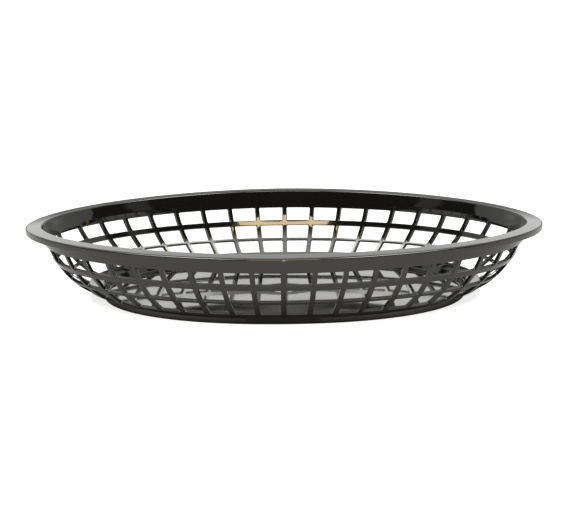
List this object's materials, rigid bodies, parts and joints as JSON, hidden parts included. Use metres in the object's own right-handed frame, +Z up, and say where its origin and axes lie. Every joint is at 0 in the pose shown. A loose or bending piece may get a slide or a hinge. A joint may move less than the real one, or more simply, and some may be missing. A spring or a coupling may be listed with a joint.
{
  "type": "oval food basket",
  "caption": "Shallow oval plastic food basket with a turned-down rim, an open windowed wall and a solid flat floor on a low foot.",
  "frame": {"origin": "middle of the flat face that it stands on, under the centre of the oval", "axes": "+X along the oval's length, +Y across it, +Z up out of the open top"},
  "size_m": [0.2666, 0.1778, 0.0381],
  "materials": {
    "black_plastic": "glossy moulded black polypropylene"
  },
  "bodies": {
    "root": {"basket": "black_plastic"}
  },
  "joints": []
}
